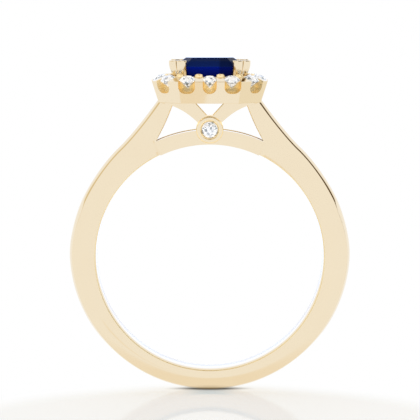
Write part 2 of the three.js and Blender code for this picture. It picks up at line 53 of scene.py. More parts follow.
# the band, its shoulders and the gallery
BAND_HALF_WIDTH = SHANK_HIGH.y
DOME = 0.24 * MM  # height of the domed outside; the CAD's is a little lower
CAD_DOME = 0.22 * MM
FINGER_RADIUS = 8.45 * MM
BAND_CENTRE_Z = 0.4 * MM
BAND_RADIUS = BAND_CENTRE_Z - SHANK_LOW.z - CAD_DOME
NECK_TOP_Z = SHANK_HIGH.z + 0.03 * MM
BRIDGE_RADIUS = 9.4 * MM
BEZEL_CENTRE_Z = (BEZEL_LOW.z + BEZEL_HIGH.z) / 2
BEZEL_RADIUS = BEZEL_HIGH.x
COLLAR_RADIUS = BEZEL_RADIUS - 0.05 * MM
GALLERY_CORNER = (3.956 * MM, 8.6 * MM)
EDGE_BREAK = 0.06 * MM
BAR_BREAK_SLOPE = 0.47
BREAK_FADE_STEPS = 3
FLOOR_Z = SHANK_LOW.z

# how far a face's normal leans along Y, on the flat front and back and on a broken edge, and how
# far up it leans on a face that looks at the halo
FLAT_FACE = 0.96
BROKEN_FACE = 0.25
UPWARD_FACE = 0.3

# outer edge of the band's flat side: a round part up to this angle, then two curves to the halo
ROUND_END_ANGLE = -0.065
SHOULDER_CURVE = [(10.39 * MM, 2.91 * MM), (8.03 * MM, 6.47 * MM), (6.41 * MM, 7.99 * MM)]
NECK_CURVE = [(5.51 * MM, 8.86 * MM), (4.2 * MM, 10.56 * MM), (3.5 * MM, NECK_TOP_Z)]
NECK_INSIDE_TOP = (2.61 * MM, NECK_TOP_Z)
NECK_INSIDE_CONTROL = (3.17 * MM, 9.95 * MM)

# the chamfer along the shoulders: where it starts, its size, and the places where it swells
# (extra size, height, spread); heights in millimetres
CHAMFER_START_Z = 3.5
CHAMFER_RUN = 0.7
CHAMFER_SIZE = 1.2
CHAMFER_SWELLS = [(0.35, 4.9, 1.0), (0.3, 11.4, 0.8)]
# the dome gets higher on the way up the shoulders
DOME_CLIMB_Z = 1.5
DOME_CLIMB_RUN = 3.5
DOME_CLIMB = 0.1 * MM

# the bezel's front half: (radius, distance from the middle), in millimetres
BEZEL_RIM = [(0.4, 0.0), (0.4, 0.5), (0.6, 0.9), (0.625, 1.0), (0.635, 1.05), (0.665, 1.1),
             (0.7, 1.135), (0.73, 1.152), (0.77, BEZEL_HIGH.y / MM), (0.88, BEZEL_HIGH.y / MM),
             (0.925, 1.148), (0.965, 1.12), (0.988, 1.08), (1.0, 1.03)]

# the halo collet and its seats, in millimetres
HALO_BOTTOM_Z = HALO_LOW.z / MM
HALO_RIM_Z = 13.1
HALO_CREST_Z = 13.46
HALO_FLARE = 0.48
HALO_WALL_DEPTH = 1.3
HALO_FOLD = 0.14
HALO_HALF_WIDTH = HALO_HIGH.x / MM - HALO_FOLD
HALO_HALF_LENGTH = 5.3
HALO_CORNER_SUM = 7.54
SEAT_GIRDLE_Z = 13.23
SEAT_INSET = 0.62
SCALLOP_BOTTOM_Z = 12.24
SCALLOP_CORNER = 0.47
SCALLOP_HALF_WIDTH = 0.59
END_SCALLOP_HALF_WIDTH = 0.49
BEAD_TOP_Z = HALO_HIGH.z / MM
BEAD_HALF_SIZE = (0.2, 0.3)
BEAD_INSET = 0.38
SIDE_BEAD_DROP = 0.12

# the basket's rails, and the inset of the lower one
RAIL_HALF_WIDTH = 2.32
RAIL_HALF_LENGTH = 3.32
RAIL_CORNER_SUM = 4.74
RAIL_DEPTH = 0.42
LOWER_RAIL_INSET = 0.38

# the claws: height, distance beyond the cut corner, distance from the seam, half depth, half width
CLAW_STATIONS = [
    (11.98, -0.56, 0.20, 0.20, 0.26),
    (12.90, -0.26, 0.20, 0.21, 0.26),
    (13.45, 0.02, 0.27, 0.22, 0.31),
    (13.95, 0.20, 0.36, 0.23, 0.35),
    (14.30, 0.25, 0.39, 0.24, 0.36),
    (14.46, 0.25, 0.39, 0.25, 0.36),
]
# the rounded tip of a claw: height above the last station, and how much narrower it is there
CLAW_TIP = [(0.06, 0.0), (0.085, 0.01), (0.1, 0.028), (0.108, 0.06)]
CLAW_SQUARENESS = 0.48
CLAW_SEAM = 0.012
CLAW_CORNER = (2.1, 3.1)
STONE_CENTRE_Z = 14.13 * MM
NOTCH_GROWTH = 1.008

# the stage
WHITE = (1.0, 1.0, 1.0)
BACK_LIGHT = (1.08, 1.2, 1.5)
FLOOR_REACH = 0.6
CAMERA_PITCH = math.radians(6.38)
CAMERA_DISTANCE = 116.5 * MM
CAMERA_TARGET = (0.02 * MM, 0, 3.445 * MM)
CAMERA_LENS = 134.4
CAMERA_SENSOR = 36


# ---------------------------------------------------------------- materials
def new_material(name):
    material = bpy.data.materials.new(name)
    material.use_nodes = True
    return material, material.node_tree.nodes, material.node_tree.links


def map_range(nodes, links, value, start, end, low=0.0, high=1.0, kind="LINEAR"):
    """A value that goes from low, where the input is start, to high, where it is end."""
    node = nodes.new("ShaderNodeMapRange")
    node.interpolation_type = kind
    node.inputs["From Min"].default_value = start
    node.inputs["From Max"].default_value = end
    node.inputs["To Min"].default_value = low
    node.inputs["To Max"].default_value = high
    links.new(value, node.inputs["Value"])
    return node.outputs["Result"]


def mix_colours(nodes, links, factor, first, second, blend="MIX"):
    """A colour mix, where the factor and both colours may be constants or sockets."""
    node = nodes.new("ShaderNodeMix")
    node.data_type = "RGBA"
    node.blend_type = blend
    for name, value in (("Factor", factor), ("A", first), ("B", second)):
        if isinstance(value, bpy.types.NodeSocket):
            links.new(value, node.inputs[name])
        else:
            node.inputs[name].default_value = value if name == "Factor" else (*value, 1)
    return node.outputs["Result"]


def noise(nodes, links, vector, scale, detail):
    """A soft random pattern, 0 to 1."""
    node = nodes.new("ShaderNodeTexNoise")
    node.inputs["Scale"].default_value = scale
    node.inputs["Detail"].default_value = detail
    links.new(vector, node.inputs["Vector"])
    return node.outputs["Fac"]


def make_gold(name, tones, polish, line_scale, glow=None, painted_glow_strength=0.0):
    """Gold with an uneven polish, faint buffing lines and a slight change of tone. A cut surface
    may get a faint painted glow, standing in for the light that bounces between it and its
    neighbours."""
    material, nodes, links = new_material(name)
    shader = nodes["Principled BSDF"]
    shader.inputs["Metallic"].default_value = 1.0
    coords = nodes.new("ShaderNodeTexCoord")
    cloud = noise(nodes, links, coords.outputs["Object"], 700.0, 3.0)
    links.new(mix_colours(nodes, links, cloud, *tones), shader.inputs["Base Color"])
    stretch = nodes.new("ShaderNodeMapping")
    stretch.inputs["Scale"].default_value = (1, 14, 1)
    links.new(coords.outputs["Object"], stretch.inputs["Vector"])
    lines = noise(nodes, links, stretch.outputs["Vector"], line_scale, 4.0)
    links.new(map_range(nodes, links, lines, 0.0, 1.0, *polish), shader.inputs["Roughness"])
    if glow:
        shader.inputs["Emission Color"].default_value = (*glow, 1)
        shader.inputs["Emission Strength"].default_value = painted_glow_strength
    return material


def multiplied(nodes, links, first, second):
    return mix_colours(nodes, links, 1.0, first, second, "MULTIPLY")


def fill_ramp(ramp, stops):
    while len(ramp.elements) < len(stops):
        ramp.elements.new(1.0)
    for element, (position, colour) in zip(ramp.elements, stops):
        element.position = position
        element.color = (*colour, 1)


def facet_shade(nodes, links, step, stops):
    """A painted light and shade that changes from facet to facet with the facet's own direction in
    the gem.
    """
    geometry = nodes.new("ShaderNodeNewGeometry")
    spread = nodes.new("ShaderNodeVectorMath")
    spread.operation = "SCALE"
    spread.inputs["Scale"].default_value = 3.1
    links.new(geometry.outputs["True Normal"], spread.inputs[0])
    pattern = nodes.new("ShaderNodeTexWhiteNoise")
    pattern.noise_dimensions = "3D"
    snap = nodes.new("ShaderNodeVectorMath")
    snap.operation = "SNAP"
    snap.inputs[1].default_value = (step, step, step)
    links.new(spread.outputs["Vector"], snap.inputs[0])
    links.new(snap.outputs["Vector"], pattern.inputs["Vector"])
    ramp = nodes.new("ShaderNodeValToRGB")
    fill_ramp(ramp.color_ramp, stops)
    links.new(pattern.outputs["Value"], ramp.inputs["Fac"])
    return ramp.outputs["Color"]


def make_diamond():
    """White stone: painted grey and white facet shades, with painted smaller reflections of the
    back facets in them and a faint painted glow in the same colours.
    """
    material, nodes, links = new_material("diamond_clear")
    shader = nodes["Principled BSDF"]
    shader.inputs["Roughness"].default_value = 0.0
    shader.inputs["IOR"].default_value = 2.0
    shader.inputs["Transmission Weight"].default_value = 0.3
    # a faint painted glow in the facet colours, for the light the stone sends back
    shader.inputs["Emission Strength"].default_value = 0.2
    shade = facet_shade(nodes, links, 0.2, [(0.0, (0.15, 0.22, 0.25)), (0.1, (0.5, 0.56, 0.62)),
                                            (0.25, (0.9, 0.92, 0.96)), (0.4, (1, 1, 1))])
    coords = nodes.new("ShaderNodeTexCoord")
    # painted reflections of the back facets, as small cells
    cells = nodes.new("ShaderNodeTexVoronoi")
    cells.inputs["Scale"].default_value = 6500.0
    links.new(coords.outputs["Object"], cells.inputs["Vector"])
    flashes = nodes.new("ShaderNodeValToRGB")
    fill_ramp(flashes.color_ramp, [(0.0, (0.03, 0.04, 0.04)), (0.22, (0.26, 0.29, 0.32)),
                                   (0.36, (0.78, 0.8, 0.85)), (0.5, (1, 1, 1))])
    links.new(cells.outputs["Color"], flashes.inputs["Fac"])
    shade = multiplied(nodes, links, shade, flashes.outputs["Color"])
    links.new(shade, shader.inputs["Base Color"])
    links.new(shade, shader.inputs["Emission Color"])
    return material


def make_sapphire():
    """Deep blue with its light painted in by height: navy on the crown, brighter blue on the
    pavilion and a near-black painted shade low down, with a painted darker reflection inside one
    side and a small painted change of light per facet."""
    material, nodes, links = new_material("sapphire_blue")
    shader = nodes["Principled BSDF"]
    shader.inputs["Roughness"].default_value = 0.0
    shader.inputs["IOR"].default_value = 1.77
    geometry = nodes.new("ShaderNodeNewGeometry")
    facing = nodes.new("ShaderNodeSeparateXYZ")
    links.new(geometry.outputs["True Normal"], facing.inputs["Vector"])
    gloss = map_range(nodes, links, facing.outputs["Z"], 0.85, 1.0, 0.01, 0.5)
    links.new(gloss, shader.inputs["Specular IOR Level"])
    coords = nodes.new("ShaderNodeTexCoord")
    place = nodes.new("ShaderNodeSeparateXYZ")
    links.new(coords.outputs["Object"], place.inputs["Vector"])
    low, high = 12, 15
    height = map_range(nodes, links, place.outputs["Z"], low * MM, high * MM)
    # painted light by height: navy crown, brighter pavilion, near-black painted shade low down
    depth = nodes.new("ShaderNodeValToRGB")
    stops = [(13.38, (0, 0.001, 0.012)), (13.48, (0, 0.008, 0.25)), (14.08, (0, 0.013, 0.34)),
             (14.12, (0.004, 0.018, 0.14)), (14.6, (0.005, 0.018, 0.10))]
    fill_ramp(depth.color_ramp, [((z - low) / (high - low), colour) for z, colour in stops])
    links.new(height, depth.inputs["Fac"])
    # painted darker reflection on the stone's right side
    across = map_range(nodes, links, place.outputs["X"], 0.6 * MM, 0.8 * MM, 1.0, 0.55)
    # small painted change of light per facet
    shade = facet_shade(nodes, links, 0.6, [(0.0, (0.75, 0.75, 0.75)), (0.4, (1, 1, 1))])
    tone = multiplied(nodes, links, depth.outputs["Color"], shade)
    tone = multiplied(nodes, links, tone, across)
    links.new(tone, shader.inputs["Base Color"])
    return material


POLISHED_TONES = ((0.875, 0.75, 0.55), (0.885, 0.77, 0.575))
# the cut golds' deeper tones are a painted shade and bounced colour for cuts, hollows and edges
PAINTED_SHADE_CUT_TONES = ((0.88, 0.70, 0.38), (0.95, 0.82, 0.54))
CUT_POLISH = (0.26, 0.4)
CUT_LINES = 3500
GOLD = make_gold("polished_yellow_gold", POLISHED_TONES, (0.04, 0.10), 1500)
# tool-cut gold with a faint painted glow for the light bounced around the cuts
CUT_GOLD_PAINTED_GLOW = make_gold("tool_cut_gold_painted_glow", PAINTED_SHADE_CUT_TONES, CUT_POLISH, CUT_LINES, (0.87, 0.62, 0.28), 0.13)
# the broken edges' deeper gold is a painted darker line, for the darker surroundings the edges
# reflect
EDGE_GOLD_PAINTED_SHADE = make_gold("hand_broken_edge_gold_painted_shade", PAINTED_SHADE_CUT_TONES, CUT_POLISH, CUT_LINES)
# deeper gold with a strong painted glow, for the light from the halo on the gallery's bars and the
# bezel
GALLERY_GOLD_PAINTED_GLOW = make_gold("gallery_edge_gold_painted_glow", PAINTED_SHADE_CUT_TONES, CUT_POLISH, CUT_LINES,
                         (0.88, 0.65, 0.32), 0.55)
SAPPHIRE = make_sapphire()
DIAMOND = make_diamond()


# ---------------------------------------------------------------- mesh helpers
def mesh_piece(name, verts, faces, material, replaced, smooth_angle=32):
    """A finished piece of one material, straight from its points and faces."""
    piece = shape_object(verts, faces)
    piece.data.validate()
    finish_piece(piece, name, material, replaced, smooth_angle)
    return piece


def tone_edges(piece, material, is_edge):
    """Gives the faces that is_edge picks another gold. The flat front and back keep theirs."""
    piece.data.materials.append(material)
    for polygon in piece.data.polygons:
        if abs(polygon.normal.y) < FLAT_FACE and is_edge(polygon):
            polygon.material_index = len(piece.data.materials) - 1


def shape_object(verts, faces, material=None):
    """An unnamed object with its doubled points merged and its normals facing outwards."""
    mesh = bpy.data.meshes.new("shape")
    if material:
        mesh.materials.append(material)
    mesh.from_pydata([tuple(v) for v in verts], [], faces)
    grid = bmesh.new()
    grid.from_mesh(mesh)
    bmesh.ops.remove_doubles(grid, verts=grid.verts, dist=0.0002 * MM)
    bmesh.ops.recalc_face_normals(grid, faces=grid.faces)
    grid.to_mesh(mesh)
    grid.free()
    shape = bpy.data.objects.new("shape", mesh)
    bpy.context.scene.collection.objects.link(shape)
    return shape


def combine(base, tool, operation):
    """Joins or cuts base with tool, and throws the tool away."""
    modifier = base.modifiers.new("combine", "BOOLEAN")
    modifier.operation = operation
    modifier.solver = "EXACT"
    modifier.material_mode = "TRANSFER"
    modifier.object = tool
    bpy.context.view_layer.update()
    depsgraph = bpy.context.evaluated_depsgraph_get()
    mesh = bpy.data.meshes.new_from_object(base.evaluated_get(depsgraph))
    base.modifiers.clear()
    base.data = mesh
    bpy.data.objects.remove(tool)


def finish_piece(piece, name, material, replaced, smooth_angle=32):
    """Names, shades and registers a piece. Its uncut faces stay flat where it has tool cuts."""
    piece.name = name
    mesh = piece.data
    if not mesh.materials:
        mesh.materials.append(material)
    has_cuts = len(mesh.materials) > 1
    for polygon in mesh.polygons:
        polygon.use_smooth = polygon.material_index > 0 if has_cuts else True
    mesh.set_sharp_from_angle(angle=math.radians(smooth_angle))
    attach(piece, "root")
    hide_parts(*replaced)


def loft(rings, caps=True):
    """Faces between successive closed rings of points that all have the same length."""
    count = len(rings[0])
    verts = [p for ring in rings for p in ring]
    faces = []
    for i in range(len(rings) - 1):
        for j in range(count):
            a = i * count + j
            b = i * count + (j + 1) % count
            faces.append((a, b, b + count, a + count))
    if caps:
        faces.append(tuple(reversed(range(count))))
        faces.append(tuple(range((len(rings) - 1) * count, len(rings) * count)))
    return verts, faces


def closed_loft(rings):
    """A loft whose last ring leads on to its first."""
    verts, faces = loft(rings + [rings[0]], caps=False)
    total = len(rings) * len(rings[0])
    return verts[:total], [tuple(v % total for v in face) for face in faces]


def bezier(a, b, c, d, steps):
    """Points of a curve from a to d in the X-Z plane, with b and c as its control points."""
    points = []
    for i in range(steps + 1):
        t = i / steps
        weights = ((1 - t) ** 3, 3 * (1 - t) ** 2 * t, 3 * (1 - t) * t * t, t ** 3)
        points.append(tuple(sum(w * p[k] for w, p in zip(weights, (a, b, c, d))) for k in (0, 1)))
    return points


def normals_of(line, side):
    """Unit normals of a polyline in the X-Z plane, on its left (side 1) or right (side -1)."""
    result = []
    for i in range(len(line)):
        a = line[max(i - 1, 0)]
        b = line[min(i + 1, len(line) - 1)]
        dx, dz = b[0] - a[0], b[1] - a[1]
        length = math.hypot(dx, dz) or 1.0
        result.append((-side * dz / length, side * dx / length))
    return result


def broken_side(half_width, break_size, slope=1.0):
    """Offsets and Y positions down a plain side whose two edges are broken by a small chamfer."""
    soft = min(0.004 * MM, break_size / 4)
    depth = break_size * slope
    front = [(-break_size - soft, -half_width), (-break_size, -half_width + soft / 2),
             (-soft / 2, -half_width + depth), (0.0, -half_width + depth + soft)]
    back = [(offset, -y) for offset, y in reversed(front)]
    return front + back


def band_side(half_width, chamfer, size, dome):
    """Offsets and Y positions across the domed outer surface; chamfer 0 to 1 breaks its edges,
    size scales the chamfer's width, and dome is the height of the middle."""
    soft_steps = [(-0.05, 0), (-0.03, 0.006), (-0.01, 0.024), (0.004, 0.05), (0.018, 0.09)]
    cut_steps = [(-0.004, 0), (0.004, 0.004), (0.058, 0.058), (0.112, 0.112), (0.12, 0.124)]
    front = []
    for soft, cut in zip(soft_steps, cut_steps):
        offset = (soft[0] * (1 - chamfer) + cut[0] * size * chamfer) * MM
        depth = (soft[1] * (1 - chamfer) + cut[1] * size * chamfer) * MM
        front.append((offset, -half_width + depth))
    edge_offset, edge_y = front[-1]
    for i in range(1, 5):
        y = edge_y * (1 - i / 5)
        rise = 1 - (y / edge_y) ** 2
        front.append((edge_offset + (dome - edge_offset) * rise, y))
    back = [(offset, -y) for offset, y in reversed(front)]
    return front + [(dome, 0.0)] + back


def slab(outer, inner, outer_sides, inner_sides):
    """A bar between two edge lines in the X-Z plane, as a loft of its cross sections."""
    outer_normals = normals_of(outer, -1)
    inner_normals = normals_of(inner, 1)
    rings = []
    for i in range(len(outer)):
        ring = []
        for offset, y in outer_sides[i]:
            ring.append((outer[i][0] + outer_normals[i][0] * offset, y,
                         outer[i][1] + outer_normals[i][1] * offset))
        for offset, y in reversed(inner_sides[i]):
            ring.append((inner[i][0] + inner_normals[i][0] * offset, y,
                         inner[i][1] + inner_normals[i][1] * offset))
        rings.append(ring)
    return loft(rings)


def mirrored(verts, faces):
    """The same shape on the other side of the ring."""
    return [(-x, y, z) for x, y, z in verts], [tuple(reversed(f)) for f in faces]


# ---------------------------------------------------------------- shank
def outer_edge():
    """Right half of the outer edge of the flat side, from the bottom to under the halo."""
    steps = 90
    line = []
    for i in range(steps + 1):
        angle = -math.pi / 2 + (math.pi / 2 + ROUND_END_ANGLE) * i / steps
        line.append((BAND_RADIUS * math.cos(angle), BAND_CENTRE_Z + BAND_RADIUS * math.sin(angle)))
    line += bezier(line[-1], *SHOULDER_CURVE, 60)[1:]
    line += bezier(line[-1], *NECK_CURVE, 40)[1:]
    return line


def outer_side(height):
    """Cross section of the outer surface at a height in millimetres."""
    chamfer = min(1, max(0, (height - CHAMFER_START_Z) / CHAMFER_RUN))
    climb = min(1, max(0, (height - DOME_CLIMB_Z) / DOME_CLIMB_RUN))
    dome = DOME + DOME_CLIMB * climb * climb * (3 - 2 * climb)
    size = CHAMFER_SIZE
    for extra, middle, spread in CHAMFER_SWELLS:
        size += extra * math.exp(-((height - middle) / spread) ** 2)
    return band_side(BAND_HALF_WIDTH, chamfer, size, dome)


def build_shank():
    """The band and both shoulders. The broken inner edge fades out at the gallery's corners."""
    outer = outer_edge()
    corner_angle = math.atan2(GALLERY_CORNER[0], GALLERY_CORNER[1])
    upper_part = [i for i in range(len(outer)) if outer[i][1] > 0]
    split = min(upper_part, key=lambda i: abs(math.atan2(*outer[i]) - corner_angle))
    inner = []
    breaks = []
    for i, point in enumerate(outer[:split]):
        angle = math.atan2(point[0], point[1])
        inner.append((FINGER_RADIUS * math.sin(angle), FINGER_RADIUS * math.cos(angle)))
        breaks.append(EDGE_BREAK * min(1, (split - 1 - i) / BREAK_FADE_STEPS))
    upper_count = len(outer) - split
    for i in range(upper_count):
        t = i / (upper_count - 1)
        inner.append(tuple((1 - t) ** 2 * GALLERY_CORNER[k]
                           + 2 * (1 - t) * t * NECK_INSIDE_CONTROL[k]
                           + t * t * NECK_INSIDE_TOP[k] for k in (0, 1)))
        breaks.append(EDGE_BREAK * min(1, i / BREAK_FADE_STEPS))
    outer_sides = [outer_side(z / MM) for _, z in outer]
    inner_sides = [broken_side(BAND_HALF_WIDTH, max(size, 0.0005 * MM)) for size in breaks]
    lines = [[(-x, z) for x, z in reversed(line[1:])] + line for line in (outer, inner)]
    sides = [list(reversed(side[1:])) + side for side in (outer_sides, inner_sides)]
    verts, faces = slab(*lines, *sides)
    band = mesh_piece("band_and_shoulders", verts, faces, GOLD, ["shank"])
    # the broken inner edges take the deeper edge gold, a painted darker line
    tone_edges(band, EDGE_GOLD_PAINTED_SHADE, lambda face: abs(face.normal.y) > BROKEN_FACE
               and face.normal.x * face.center.x + face.normal.z * face.center.z < 0)


# ---------------------------------------------------------------- gallery
def build_bridge(side, name, node):
    """Half of the curved bar over the finger; it follows the bezel down to the middle."""
    start = math.atan2(GALLERY_CORNER[0], GALLERY_CORNER[1]) + 0.012
    end = 0.1
    meet = 0.118  # angle on the bezel, below the horizontal, where the bar turns down
    foot_spread = 0.89  # the lower line runs a little closer to the middle than the upper one
    bar_steps, collar_steps = 30, 12
    top, bottom = [], []
    for i in range(bar_steps + 1):
        angle = start + (end - start) * i / bar_steps
        top.append((BRIDGE_RADIUS * math.sin(angle), BRIDGE_RADIUS * math.cos(angle)))
        bottom.append((FINGER_RADIUS * math.sin(angle), FINGER_RADIUS * math.cos(angle)))
    for i in range(collar_steps + 1):
        around = meet + (math.pi / 2 - meet) * i / collar_steps
        x = COLLAR_RADIUS * math.cos(around)
        top.append((x, BEZEL_CENTRE_Z - COLLAR_RADIUS * math.sin(around)))
        low_x = x * foot_spread
        bottom.append((low_x, math.sqrt(FINGER_RADIUS ** 2 - low_x ** 2)))
    half_width = BAND_HALF_WIDTH - 0.003 * MM
    sides = [broken_side(half_width, EDGE_BREAK, BAR_BREAK_SLOPE)] * len(top)
    verts, faces = slab(bottom, top, sides, sides)
    if side < 0:
        verts, faces = mirrored(verts, faces)
    bridge = mesh_piece(name, verts, faces, GOLD, [node])
    # the broken edges take the deeper edge gold, a painted darker line
    tone_edges(bridge, EDGE_GOLD_PAINTED_SHADE, lambda face: abs(face.normal.y) > BROKEN_FACE)


def on_collar(angle):
    """A point just inside the bezel's outer edge, at an angle above the horizontal."""
    return COLLAR_RADIUS * math.cos(angle), BEZEL_CENTRE_Z + COLLAR_RADIUS * math.sin(angle)


def build_strut(side, name, node):
    """Slanting bar from under the halo down to the bezel."""
    low_end, high_end = on_collar(0.6), on_collar(1.32)
    lower = [(2.78 * MM, NECK_TOP_Z), (2.7 * MM, 11.27 * MM)]
    lower += bezier(lower[-1], (2.0 * MM, 11.0 * MM), (1.5 * MM, 10.68 * MM), low_end, 24)[1:]
    upper = []
    for i in range(len(lower)):
        t = max(0, (i - 1) / (len(lower) - 2))
        upper.append(tuple((1.3 * MM, NECK_TOP_Z)[k] * (1 - t) + high_end[k] * t for k in (0, 1)))
    upper[0] = (1.33 * MM, NECK_TOP_Z)
    half_width = BAND_HALF_WIDTH - 0.004 * MM
    sides = [broken_side(half_width, EDGE_BREAK, BAR_BREAK_SLOPE)] * len(lower)
    verts, faces = slab(lower, upper, sides, sides)
    if side < 0:
        verts, faces = mirrored(verts, faces)
    strut = mesh_piece(name, verts, faces, GOLD, [node])
    # its broken edges and the faces that look up at the halo take the deeper gold with a painted
    # glow
    tone_edges(strut, GALLERY_GOLD_PAINTED_GLOW,
               lambda face: abs(face.normal.y) > BROKEN_FACE or face.normal.z > UPWARD_FACE)


def lathe_y(profile, centre_z, segments=96):
    """Turns a closed (radius, y) profile about a line along Y."""
    rings = []
    for i in range(segments):
        angle = 2 * math.pi * i / segments
        rings.append([(r * math.cos(angle), y, centre_z + r * math.sin(angle)) for r, y in profile])
    return closed_loft(rings)


def build_bezel():
    """The open tube in the gallery, in the cut gold with its faint painted glow; a stronger painted
    glow on the upper half of its outside stands for the light from the halo.
    """
    front = [(r * MM, -y * MM) for r, y in BEZEL_RIM]
    back = [(r, -y) for r, y in reversed(front[1:])]
    verts, faces = lathe_y(front + back, BEZEL_CENTRE_Z)
    bezel = mesh_piece("bezel_tube", verts, faces, GOLD, ["peekaboo_bezel"], 40)
    tone_edges(bezel, CUT_GOLD_PAINTED_GLOW, lambda face: True)
    outer_reach = 0.8 * BEZEL_RADIUS
    tone_edges(bezel, GALLERY_GOLD_PAINTED_GLOW, lambda face: face.normal.z > UPWARD_FACE and
               math.hypot(face.center.x, face.center.z - BEZEL_CENTRE_Z) > outer_reach)


# ---------------------------------------------------------------- halo
def fourfold(quadrant):
    """Repeats the corners of the first quadrant in the other three, anticlockwise."""
    mirror = list(reversed(quadrant))
    points = list(quadrant)
    points += [(-x, y) for x, y in mirror]
    points += [(-x, -y) for x, y in quadrant]
    points += [(x, -y) for x, y in mirror]
    return [p for i, p in enumerate(points) if math.dist(p, points[i - 1]) > 1e-6]


def halo_outline(inset):
    """The collet from above: a rectangle with cut corners, its sides folded in the middle."""
    side = HALO_HALF_WIDTH - inset
    end = HALO_HALF_LENGTH - inset
    corner_sum = HALO_CORNER_SUM - math.sqrt(2) * inset
    return fourfold([(side + HALO_FOLD, 0), (side, corner_sum - side), (corner_sum - end, end),
                     (0, end + HALO_FOLD)])


def wall_around(outline, profile):
    """A closed wall whose (inset, height) profile follows an outline; sizes in millimetres."""
    return closed_loft([[(x * MM, y * MM, z * MM) for x, y in outline(inset)]
                        for inset, z in profile])


def halo_seats():
    """Place, outward direction and scallop half width of each halo diamond, anticlockwise."""
    end_y = HALO_HALF_LENGTH - SEAT_INSET
    side_x = HALO_HALF_WIDTH - SEAT_INSET
    corner_sum = HALO_CORNER_SUM - math.sqrt(2) * SEAT_INSET
    corner_x = corner_sum / 2 - 0.38
    quadrant = [((0, end_y + 0.1), (0, 1), END_SCALLOP_HALF_WIDTH),
                ((1.57, end_y + 0.04), (0.13, 1), SCALLOP_HALF_WIDTH),
                ((corner_x, corner_sum - corner_x), (1, 1), SCALLOP_HALF_WIDTH),
                ((side_x + 0.03, 2.4), (1, 0.05), SCALLOP_HALF_WIDTH),
                ((side_x + 0.1, 0.8), (1, 0.05), SCALLOP_HALF_WIDTH)]
    seats = []
    for (x, y), (out_x, out_y), half_width in quadrant:
        for side_y in (-1, 1):
            for side in (1, -1) if x else (1,):
                place = Vector((side * x, side_y * y, SEAT_GIRDLE_Z))
                out = Vector((side * out_x, side_y * out_y, 0)).normalized()
                seats.append((place, out, half_width))
    return sorted(seats, key=lambda seat: math.atan2(seat[0].y, seat[0].x))


def seat_matrix(place, out):
    """From a seat's own frame in millimetres, with X outwards, to the ring's in metres."""
    turn = Matrix.Rotation(math.atan2(out.y, out.x), 4, "Z")
    return Matrix.Scale(MM, 4) @ Matrix.Translation(place) @ turn


def scallop_edge(half_width):
    """Half of the U: (distance from the middle, height above the girdle) from top to floor."""
    low = SCALLOP_BOTTOM_Z - SEAT_GIRDLE_Z
    line = [(half_width, 1.0)]
    steps = 8
    for i in range(steps + 1):
        angle = -math.pi / 2 * i / steps
        line.append((half_width - SCALLOP_CORNER + SCALLOP_CORNER * math.cos(angle),
                     low + SCALLOP_CORNER + SCALLOP_CORNER * math.sin(angle)))
    return line


def scallop(place, out, half_width):
    """A U-shaped channel that runs outwards from the middle of a seat."""
    line = scallop_edge(half_width)
    line += [(-x, z) for x, z in reversed(line)]
    matrix = seat_matrix(place, out)
    rings = [[matrix @ Vector((along, across, z)) for across, z in line] for along in (0, 2)]
    return loft(rings)


def turned(profile, matrix, segments=40):
    """A solid turned about its own Z axis from a (radius, z) profile, lower end first."""
    rings = []
    for radius, z in profile:
        rings.append([matrix @ Vector((radius * math.cos(2 * math.pi * i / segments),
                                       radius * math.sin(2 * math.pi * i / segments), z))
                      for i in range(segments)])
    return loft(rings)


def seat_drill(place, out, half_width):
    """The round inner end of a scallop."""
    return turned(list(reversed(scallop_edge(half_width))), seat_matrix(place, out))


def bead_post(place, out, next_place, next_out):
    """A rounded post between two diamonds, on the inner side of the row."""
    outward = (out + next_out).normalized()
    middle = (place + next_place) / 2 - outward * BEAD_INSET
    middle.z = 0
    top = BEAD_TOP_Z - (SIDE_BEAD_DROP if abs(outward.x) > 0.5 else 0.0)
    profile = [(1.0, HALO_RIM_Z - 0.1), (1.0, top - 0.2), (0.97, top - 0.13), (0.86, top - 0.06),
               (0.68, top - 0.02), (0.45, top)]
    matrix = seat_matrix(middle, outward) @ Matrix.Diagonal((*BEAD_HALF_SIZE, 1, 1))
    return turned(profile, matrix, 24)


def many(shapes, material):
    """One object that holds several separate shapes."""
    verts, faces = [], []
    for part_verts, part_faces in shapes:
        start = len(verts)
        verts += part_verts
        faces += [tuple(v + start for v in face) for face in part_faces]
    return shape_object(verts, faces, material)


def build_halo():
    """The collet's wall with its beads, cut by a scallop and a round hole under each diamond."""
    seats = halo_seats()
    edge = 0.02
    knee = (0.78, HALO_RIM_Z + 0.29)
    profile = [(HALO_FLARE + edge, HALO_BOTTOM_Z), (HALO_FLARE, HALO_BOTTOM_Z + edge),
               (0.0, HALO_RIM_Z - edge), (edge, HALO_RIM_Z + 0.004), knee,
               (HALO_WALL_DEPTH - edge, HALO_CREST_Z),
               (HALO_WALL_DEPTH, HALO_CREST_Z - edge), (HALO_WALL_DEPTH, HALO_BOTTOM_Z + edge),
               (HALO_WALL_DEPTH - edge, HALO_BOTTOM_Z)]
    collet = shape_object(*wall_around(halo_outline, profile), GOLD)
    posts = []
    for i, (place, out, _) in enumerate(seats):
        next_place, next_out = seats[(i + 1) % len(seats)][:2]
        posts.append(bead_post(place, out, next_place, next_out))
    # the beads, scallops and seat holes take the cut gold: a deeper painted shade with a faint
    # painted glow
    combine(collet, many(posts, CUT_GOLD_PAINTED_GLOW), "UNION")
    for make in (scallop, seat_drill):
        combine(collet, many([make(*seat) for seat in seats], CUT_GOLD_PAINTED_GLOW), "DIFFERENCE")
    grid = bmesh.new()
    grid.from_mesh(collet.data)
    bmesh.ops.dissolve_degenerate(grid, edges=grid.edges, dist=0.0005 * MM)
    grid.to_mesh(collet.data)
    grid.free()
    finish_piece(collet, "halo_wall", GOLD, ["halo_collet"], 25)


